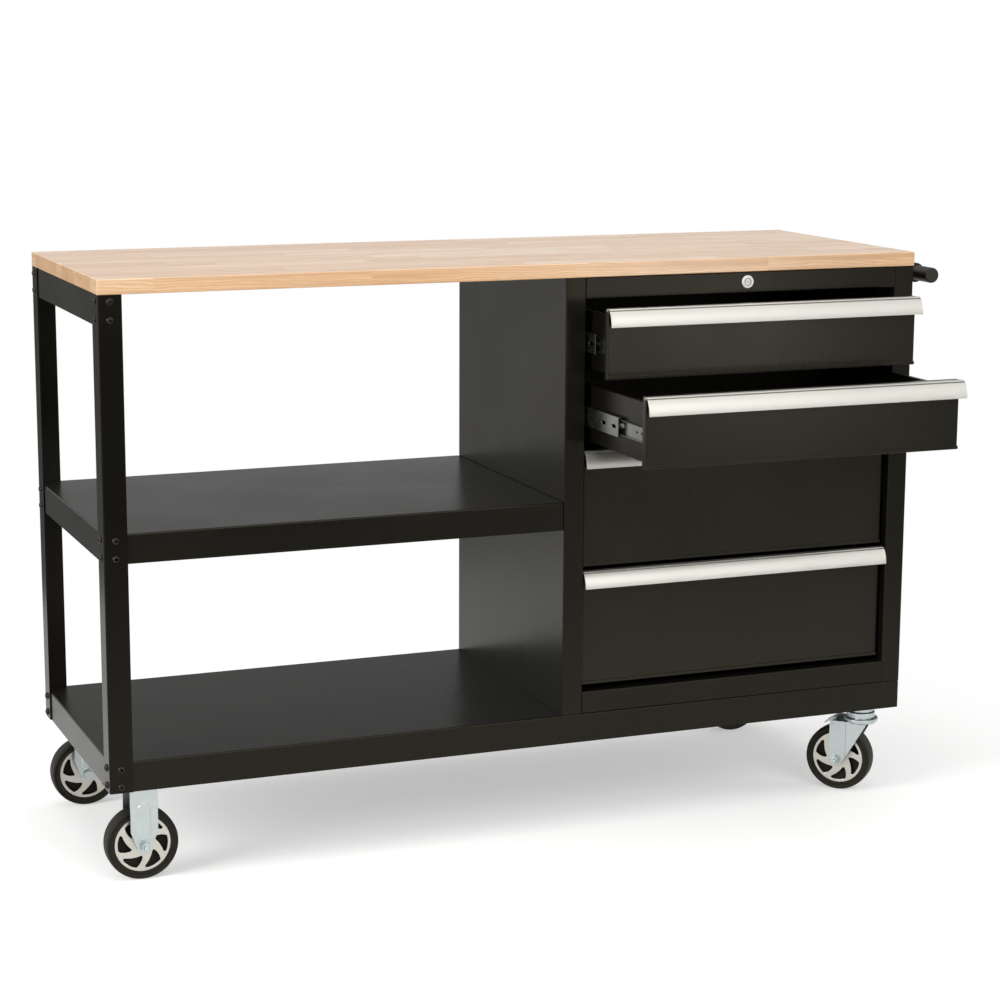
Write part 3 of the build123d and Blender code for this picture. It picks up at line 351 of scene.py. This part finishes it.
bead_mesh.from_pydata(bead_points, [], bead_faces)
bead_mesh.materials.append(frame_coat)
seam_bead = bpy.data.objects.new("cabinet_seam_bead", bead_mesh)
bpy.context.collection.objects.link(seam_bead)
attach(seam_bead, "bench")

# Lock: a housing and a key plug in satin chrome, which shows a soft bright grey, set in the header.
# The plug turns a spindle and a crank that lift the plated bar behind the drawers.
# A dark ring lies in the housing's face around the plug.
chrome = plated_steel("satin chrome plate", "#E6E4E0", roughness=0.55, cloud_size=6 * MM)
lock_edge = 0.25 * MM
rounded(chrome, "lock_chrome", lock_edge, "lock_body", "lock_plug")
lock_ring_radii = (5.6 * MM, 6.8 * MM)
lock_ring_proud = 0.25 * MM
lock_ring_chamfer = 0.15 * MM
lock_ring_steps = 48
low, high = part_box("lock_body")
lock_middle = Vector(((low[0] + high[0]) / 2, low[1], (low[2] + high[2]) / 2))
ring_points = []
for step in range(lock_ring_steps):
    angle = 2 * pi * step / lock_ring_steps
    spoke = Vector((cos(angle), 0, sin(angle)))
    for radius, depth in ((0, 1), (0, -1), (1, -1), (1, 1)):
        reach = lock_ring_radii[radius] + (1 - 2 * radius) * (lock_ring_chamfer if depth < 0 else 0)
        ring_points.append(lock_middle + spoke * reach + Vector((0, depth * lock_ring_proud, 0)))
ring_faces = []
for step in range(lock_ring_steps):
    here, there = 4 * step, 4 * ((step + 1) % lock_ring_steps)
    for i in range(4):
        j = (i + 1) % 4
        ring_faces.append((here + i, there + i, there + j, here + j))
ring_mesh = bpy.data.meshes.new("lock_ring")
ring_mesh.from_pydata(ring_points, [], ring_faces)
ring_mesh.materials.append(black_oxide)
lock_ring = bpy.data.objects.new("lock_ring", ring_mesh)
bpy.context.collection.objects.link(lock_ring)
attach(lock_ring, "bench")

# Push bar: a powder-coated tube held by two clamp brackets at the right end of the cabinet.
# Caps of moulded black plastic, a shade greyer and duller than the coat, close its ends.
bar_coat = powder_coat("satin black powder coat on push bar tube", "#1C1B18", roughness=0.4)
bracket_edge = 0.8 * MM
dress(bar_coat, "push_bar")
rounded(bar_coat, "push_bar_black", bracket_edge, "push_bar_brackets")
cap_plastic = powder_coat("moulded black plastic", "#2A2926", roughness=0.55)
cap_edge = 0.8 * MM
rounded(cap_plastic, "cap_plastic", cap_edge, "push_bar_caps")

# Slides: rolled ball-bearing slides, with an outer member on the posts, a middle one and an inner one.
# Dull zinc plate gives them a darker grey than the casters.
# Between the middle and inner members run balls in pressed cages, made here because the solids leave them out.
slide_zinc = plated_steel("dull zinc plate on slide steel", "#8C8E88", roughness=0.26, cloud_size=14 * MM)
dress(slide_zinc, "slide_outers", "lock_bar")
ball_steel = plated_steel("polished ball steel", "#D8D9DA", roughness=0.12, cloud_size=3 * MM)
cage_steel = plated_steel("bright cage strip", "#B9BBB8", roughness=0.3, cloud_size=5 * MM)
ball_segments = 16
ball_rings = 10
cage_thickness = 0.5 * MM
cage_height_in_radii = 1.2

cages = bpy.data.node_groups.new("rows of slide balls in their cages", "GeometryNodeTree")
inputs = (
    ("Balls in a row", "NodeSocketInt"),
    ("Ball pitch", "NodeSocketFloat"),
    ("Ball radius", "NodeSocketFloat"),
    ("Row spacing", "NodeSocketFloat"),
    ("Slide spacing", "NodeSocketFloat"),
    ("First ball", "NodeSocketVector"),
)
for name, kind in inputs:
    cages.interface.new_socket(name=name, in_out="INPUT", socket_type=kind)
cages.interface.new_socket(name="Geometry", in_out="OUTPUT", socket_type="NodeSocketGeometry")
given = put(cages, "NodeGroupInput").outputs
step = put(cages, "ShaderNodeCombineXYZ", {"Y": given["Ball pitch"]})
line = put(cages, "GeometryNodeMeshLine", {"Count": given["Balls in a row"], "Offset": step.outputs[0]})
ball = {"Segments": ball_segments, "Rings": ball_rings, "Radius": given["Ball radius"]}
ball = put(cages, "GeometryNodeMeshUVSphere", ball)
ball = put(cages, "GeometryNodeSetShadeSmooth", {"Geometry": ball.outputs["Mesh"]})
ball = put(cages, "GeometryNodeSetMaterial", {"Geometry": ball.outputs[0], "Material": ball_steel})
balls = put(cages, "GeometryNodeInstanceOnPoints", {"Points": line.outputs[0], "Instance": ball.outputs[0]})
product = {0: given["Ball pitch"], 1: given["Balls in a row"]}
strip_length = put(cages, "ShaderNodeMath", product, operation="MULTIPLY")
product = {0: given["Ball radius"], 1: cage_height_in_radii}
strip_height = put(cages, "ShaderNodeMath", product, operation="MULTIPLY")
strip_size = {"X": cage_thickness, "Y": strip_length.outputs[0], "Z": strip_height.outputs[0]}
strip_size = put(cages, "ShaderNodeCombineXYZ", strip_size)
strip = put(cages, "GeometryNodeMeshCube", {"Size": strip_size.outputs[0]})
half_strip = put(cages, "ShaderNodeMath", {0: strip_length.outputs[0], 1: 0.5}, operation="MULTIPLY")
half_pitch = put(cages, "ShaderNodeMath", {0: given["Ball pitch"], 1: 0.5}, operation="MULTIPLY")
difference = {0: half_strip.outputs[0], 1: half_pitch.outputs[0]}
strip_middle = put(cages, "ShaderNodeMath", difference, operation="SUBTRACT")
strip_place = put(cages, "ShaderNodeCombineXYZ", {"Y": strip_middle.outputs[0]})
strip = {"Geometry": strip.outputs["Mesh"], "Translation": strip_place.outputs[0]}
strip = put(cages, "GeometryNodeTransform", strip)
strip = put(cages, "GeometryNodeSetMaterial", {"Geometry": strip.outputs[0], "Material": cage_steel})
row = put(cages, "GeometryNodeJoinGeometry")
cages.links.new(balls.outputs[0], row.inputs[0])
cages.links.new(strip.outputs[0], row.inputs[0])
corners = {"Size X": given["Slide spacing"], "Size Y": given["Row spacing"], "Vertices X": 2, "Vertices Y": 2}
corners = put(cages, "GeometryNodeMeshGrid", corners)
corners = {"Geometry": corners.outputs["Mesh"], "Rotation": (pi / 2, 0, 0)}
corners = put(cages, "GeometryNodeTransform", corners)
rows = {"Points": corners.outputs[0], "Instance": row.outputs[0]}
rows = put(cages, "GeometryNodeInstanceOnPoints", rows)
rows = {"Geometry": rows.outputs[0], "Translation": given["First ball"]}
rows = put(cages, "GeometryNodeTransform", rows)
rows = put(cages, "GeometryNodeRealizeInstances", {"Geometry": rows.outputs[0]})
put(cages, "NodeGroupOutput", {"Geometry": rows.outputs[0]})


def grow(name, group, values):
    """Evaluates a node group with the values of its named inputs, and leaves a plain mesh object."""
    seed = bpy.data.objects.new(name, bpy.data.meshes.new(name))
    bpy.context.collection.objects.link(seed)
    modifier = seed.modifiers.new(name, "NODES")
    modifier.node_group = group
    for item in group.interface.items_tree:
        if item.in_out == "INPUT":
            modifier[item.identifier] = values[item.name]
    bpy.context.view_layer.update()
    evaluated = seed.evaluated_get(bpy.context.evaluated_depsgraph_get())
    seed_mesh = bpy.data.meshes.new_from_object(evaluated)
    seed.modifiers.clear()
    seed.data = seed_mesh
    return seed


slide_edge = 0.5 * MM
slide_ball_radius = 1.3 * MM
slide_ball_pitch = 7 * MM
slide_ball_count = 16
slide_ball_start = 24 * MM
slide_row_spacing = 28.8 * MM
slide_ball_depth = 8 * MM
outer_low, outer_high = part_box("slide_outers")
for number in range(1, 5):
    members = (f"drawer_{number}_slide_inner", f"drawer_{number}_slide_middle")
    rounded(slide_zinc, "slide_steel", slide_edge, *members)
    low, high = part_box(f"drawer_{number}_slide_middle")
    values = {
        "Balls in a row": slide_ball_count,
        "Ball pitch": slide_ball_pitch,
        "Ball radius": slide_ball_radius,
        "Row spacing": slide_row_spacing,
        "Slide spacing": outer_high[0] - outer_low[0] - 2 * slide_ball_depth,
        "First ball": ((low[0] + high[0]) / 2, low[1] + slide_ball_start, (low[2] + high[2]) / 2),
    }
    slide_balls = grow(f"drawer_{number}_slide_balls", cages, values)
    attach(slide_balls, f"drawer_{number}_middle")

# Drawers: trays and fronts folded from sheet in the same satin black; the trays are painted darker, as painted
# shade.
# A handle extruded from aluminium runs along the top of each front, satin anodised to a soft warm silver.
# The faces in the fine groove along the handle are painted a darker grey, as painted shade.
drawer_coat = powder_coat("satin black powder coat on drawer steel", "#14130F", roughness=0.28)
# The trays' coat is the drawers' satin black painted darker, as painted shade.
trays_painted_shade_coat = powder_coat("satin black powder coat on drawer trays", "#0C0B09", roughness=0.34)
anodised = plated_steel("satin anodised aluminium", "#C4C2BB", roughness=0.45, cloud_size=400 * MM)
groove_painted_shade = plated_steel("anodised aluminium darkened as painted groove shade", "#85837D", roughness=0.5, cloud_size=400 * MM)
tray_edge = 0.3 * MM
front_edge = 0.6 * MM
handle_edge = 0.35 * MM
handle_groove_drop = 2.5 * MM
handle_groove_reach = 1.05 * MM
handle_groove_floor = 11.7 * MM
for number in range(1, 5):
    rounded(trays_painted_shade_coat, "drawer_paint", tray_edge, f"drawer_{number}_tray")
    rounded(drawer_coat, "drawer_paint", front_edge, f"drawer_{number}_front")
    rounded(anodised, "handle_aluminium", handle_edge, f"drawer_{number}_handle")
    low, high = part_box(f"drawer_{number}_handle")
    handle_mesh = bpy.data.objects[f"drawer_{number}_handle_edged"].data
    # Faces in the groove take the darker grey of painted shade.
    handle_mesh.materials.append(groove_painted_shade)
    for face in handle_mesh.polygons:
        in_line = abs(high[2] - face.center.z - handle_groove_drop) < handle_groove_reach
        if in_line and high[1] - face.center.y > handle_groove_floor:
            face.material_index = 1

# Casters: forks, plates and brake pedals pressed from sheet, and turned axles, all in bright zinc plate.
# The left pair is bolted fast to its channel; the right pair swivels on king pins and has the brakes.
caster_edge = 0.6 * MM
rounded(zinc, "zinc_steel", caster_edge, "fixed_caster_forks", "fixed_caster_axles", "swivel_caster_plates")
for side in ("front", "back"):
    caster = (f"swivel_fork_{side}_right", f"swivel_axle_{side}_right", f"brake_pedal_{side}_right")
    rounded(zinc, "zinc_steel", caster_edge, *caster)

# Wheels: dull black rubber tyres moulded on a plastic core, with raised rings on their side walls.
# The pressed hubs are in silver paint, with six curved windows in each face that show the dark core.
rubber = powder_coat("moulded black rubber", "#171613", roughness=0.58, sheen=0.22)
core_plastic = powder_coat("black plastic wheel core", "#0B0A09", roughness=0.7)
hub_silver = plated_steel("silver paint on pressed hub", "#C4C1B8", roughness=0.36, cloud_size=12 * MM)
hub_edge = 1.1 * MM
tyre_turns = 96
tyre_crease = radians(50)
tyre_half_profile = (
    (13.1, 0.0),
    (13.1, 5.0),
    (47.5, 5.0),
    (48.5, 6.0),
    (48.5, 15.5),
    (49.1, 16.4),
    (50.6, 16.6),
    (51.6, 16.2),
    (52.2, 15.6),
    (56.4, 15.6),
    (57.0, 16.2),
    (58.0, 16.7),
    (59.2, 16.5),
    (60.3, 15.6),
    (61.1, 14.2),
    (61.5, 12.4),
    (61.8, 8.0),
    (62.0, 0.0),
)
core_rings = 4
far_side = [(radius, -across) for radius, across in reversed(tyre_half_profile[1:-1])]
profile = tyre_half_profile + tuple(far_side)
count = len(profile)
faces = []
for turn in range(tyre_turns):
    here, there = turn * count, (turn + 1) % tyre_turns * count
    for i in range(count):
        j = (i + 1) % count
        faces.append((here + i, there + i, there + j, here + j))
for corner in ("front_left", "back_left", "front_right", "back_right"):
    spin = next(joint for joint in frame["joints"] if joint["child"] == f"wheel_{corner}")
    axle = Vector(spin["axis"]).normalized()
    upright = Vector((0, 0, 1))
    level = axle.cross(upright)
    low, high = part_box(f"tyre_{corner}")
    middle = (Vector(low) + Vector(high)) / 2
    points = []
    for turn in range(tyre_turns):
        angle = 2 * pi * turn / tyre_turns
        outward = level * cos(angle) + upright * sin(angle)
        points += [middle + (outward * radius + axle * across) * MM for radius, across in profile]
    mesh = bpy.data.meshes.new(f"tyre_{corner}_moulded")
    mesh.from_pydata(points, [], faces)
    mesh.polygons.foreach_set("use_smooth", [True] * len(faces))
    mesh.set_sharp_from_angle(angle=tyre_crease)
    mesh.materials.append(rubber)
    mesh.materials.append(core_plastic)
    for face in mesh.polygons:
        ring = face.index % count
        face.material_index = int(min(ring, count - 1 - ring) < core_rings)
    moulded = bpy.data.objects.new(f"tyre_{corner}_moulded", mesh)
    bpy.context.collection.objects.link(moulded)
    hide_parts(f"tyre_{corner}")
    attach(moulded, f"wheel_{corner}")
    rounded(hub_silver, "hub_silver", hub_edge, f"hub_{corner}")

# Studio: a pale floor that runs out of sight into a white surround, and soft lamps.
# The camera stands where the photograph was taken, in front of the left end and a little above the worktop.
camera_place = Vector((-1.651, -4.009, 1.4163))
camera_heading = radians(21.887)
camera_dip = radians(10.891)
camera_roll = radians(0.257)
camera = bpy.data.objects.new("camera", bpy.data.cameras.new("camera"))
camera.data.lens = 88.9
camera.data.sensor_width = 36
camera.data.clip_end = 100
camera.matrix_world = (
    Matrix.Translation(camera_place)
    @ Matrix.Rotation(-camera_heading, 4, "Z")
    @ Matrix.Rotation(radians(90) - camera_dip, 4, "X")
    @ Matrix.Rotation(camera_roll, 4, "Z")
)
bpy.context.collection.objects.link(camera)
bpy.context.scene.camera = camera
bpy.context.scene.view_settings.view_transform = "Standard"

# The camera sees a white backdrop. Gloss sees a bright sky that is dim high up behind the bench,
# and below the horizon a dark room with a white card at the left. All else gets an even soft fill.
white = linear("#FFFFFF")
fill_colour = "#F6F7F8"
fill_strength = 0.4
sky_strength = 0.9
card_edge = (-0.31, -0.37)
room_strength = 0.08
card_strength = 1.0
horizon = (0.0, 0.07)
back_heading = (0.35, 0.93, 0.0)
back_edge = (0.84, 0.94)
back_strength = 0.12
back_height = (0.15, 0.21)

studio = bpy.data.worlds.new("studio")
bpy.context.scene.world = studio
studio.use_nodes = True
studio.node_tree.nodes.clear()
sky = studio.node_tree
ray = put(sky, "ShaderNodeLightPath").outputs
either = {0: ray["Is Glossy Ray"], 1: ray["Is Transmission Ray"]}
mirrored = put(sky, "ShaderNodeMath", either, operation="MAXIMUM")
direction = put(sky, "ShaderNodeTexCoord").outputs["Generated"]
aim = put(sky, "ShaderNodeSeparateXYZ", {0: direction}).outputs
span = {"Value": aim["X"], "From Min": card_edge[0], "From Max": card_edge[1]}
glow = {"To Min": room_strength, "To Max": card_strength}
card = put(sky, "ShaderNodeMapRange", {**span, **glow}, interpolation_type="SMOOTHSTEP")
behind = put(sky, "ShaderNodeVectorMath", {0: direction, 1: back_heading}, operation="DOT_PRODUCT")
span = {"Value": behind.outputs["Value"], "From Min": back_edge[0], "From Max": back_edge[1]}
glow = {"To Min": sky_strength, "To Max": back_strength}
back_wall = put(sky, "ShaderNodeMapRange", {**span, **glow}, interpolation_type="SMOOTHSTEP")
span = {"Value": aim["Z"], "From Min": back_height[0], "From Max": back_height[1]}
glow = {"To Min": sky_strength, "To Max": back_wall.outputs[0]}
upper = put(sky, "ShaderNodeMapRange", {**span, **glow}, interpolation_type="SMOOTHSTEP")
span = {"Value": aim["Z"], "From Min": horizon[0], "From Max": horizon[1]}
glow = {"To Min": card.outputs[0], "To Max": upper.outputs[0]}
shown = put(sky, "ShaderNodeMapRange", {**span, **glow}, interpolation_type="SMOOTHSTEP")
soft_fill = put(sky, "ShaderNodeBackground", {"Color": linear(fill_colour), "Strength": fill_strength})
surround = put(sky, "ShaderNodeBackground", {"Color": white, "Strength": shown.outputs[0]})
backdrop = put(sky, "ShaderNodeBackground", {"Color": white, "Strength": 1.0})
lit = put(sky, "ShaderNodeMixShader", {0: mirrored.outputs[0], 1: soft_fill.outputs[0], 2: surround.outputs[0]})
seen = put(sky, "ShaderNodeMixShader", {0: ray["Is Camera Ray"], 1: lit.outputs[0], 2: backdrop.outputs[0]})
put(sky, "ShaderNodeOutputWorld", {"Surface": seen.outputs[0]})

# The floor is painted a pale matt grey, and where it is seen it fades to white away from the bench.
floor_half_width = 2.0
floor_colour = "#DCDCDA"
floor_lift = 0.42
floor_fade = (0.9, 1.9)
floor_mesh = bpy.data.meshes.new("floor")
floor_corners = [(-1, -1), (1, -1), (1, 1), (-1, 1)]
floor_points = [(x * floor_half_width, y * floor_half_width, 0) for x, y in floor_corners]
floor_mesh.from_pydata(floor_points, [], [(0, 1, 2, 3)])
floor = bpy.data.objects.new("floor", floor_mesh)
bpy.context.collection.objects.link(floor)
floor_paint, tree, place = new_material("white painted floor")
ray = put(tree, "ShaderNodeLightPath").outputs
either = {0: ray["Is Camera Ray"], 1: ray["Is Glossy Ray"]}
seen = put(tree, "ShaderNodeMath", either, operation="MAXIMUM")
either = {0: seen.outputs[0], 1: ray["Is Transmission Ray"]}
seen = put(tree, "ShaderNodeMath", either, operation="MAXIMUM")
paint = put(tree, "ShaderNodeBsdfDiffuse", {"Color": linear(floor_colour)})
lift = put(tree, "ShaderNodeEmission", {"Color": white, "Strength": floor_lift})
near = put(tree, "ShaderNodeAddShader", {0: paint.outputs[0], 1: lift.outputs[0]})
far = put(tree, "ShaderNodeEmission", {"Color": white, "Strength": 1.0})
reach = put(tree, "ShaderNodeVectorMath", {0: place}, operation="LENGTH")
span = {"Value": reach.outputs["Value"], "From Min": floor_fade[0], "From Max": floor_fade[1]}
fade = put(tree, "ShaderNodeMapRange", span, interpolation_type="SMOOTHSTEP")
faded = put(tree, "ShaderNodeMixShader", {0: fade.outputs[0], 1: near.outputs[0], 2: far.outputs[0]})
surface = put(tree, "ShaderNodeMixShader", {0: seen.outputs[0], 1: paint.outputs[0], 2: faded.outputs[0]})
put(tree, "ShaderNodeOutputMaterial", {"Surface": surface.outputs[0]})
floor_mesh.materials.append(floor_paint)

# Each lamp: name, place, target, side of its square in metres, and watts.
lamps = (
    ("overhead", (-0.1, -0.1, 3.6), (0.0, 0.1, 0.6), 3.2, 58),
    ("key_front", (0.6, -5.0, 2.8), (0.0, 0.0, 0.6), 3.4, 104),
    ("fill_left", (-4.2, -1.2, 2.0), (-0.4, 0.1, 0.6), 2.0, 140),
    ("fill_right", (4.2, -1.2, 2.0), (0.4, 0.1, 0.6), 2.0, 30),
    ("card_front", (2.05, -3.8, 0.6), (0.3, -0.2, 0.75), 0.6, 9),
)
for name, lamp_place, target, size, power in lamps:
    lamp = bpy.data.objects.new(name, bpy.data.lights.new(name, "AREA"))
    lamp.data.shape = "SQUARE"
    lamp.data.size = size
    lamp.data.energy = power
    lamp.location = lamp_place
    lamp.rotation_euler = (Vector(target) - Vector(lamp_place)).to_track_quat("-Z", "Y").to_euler()
    bpy.context.collection.objects.link(lamp)
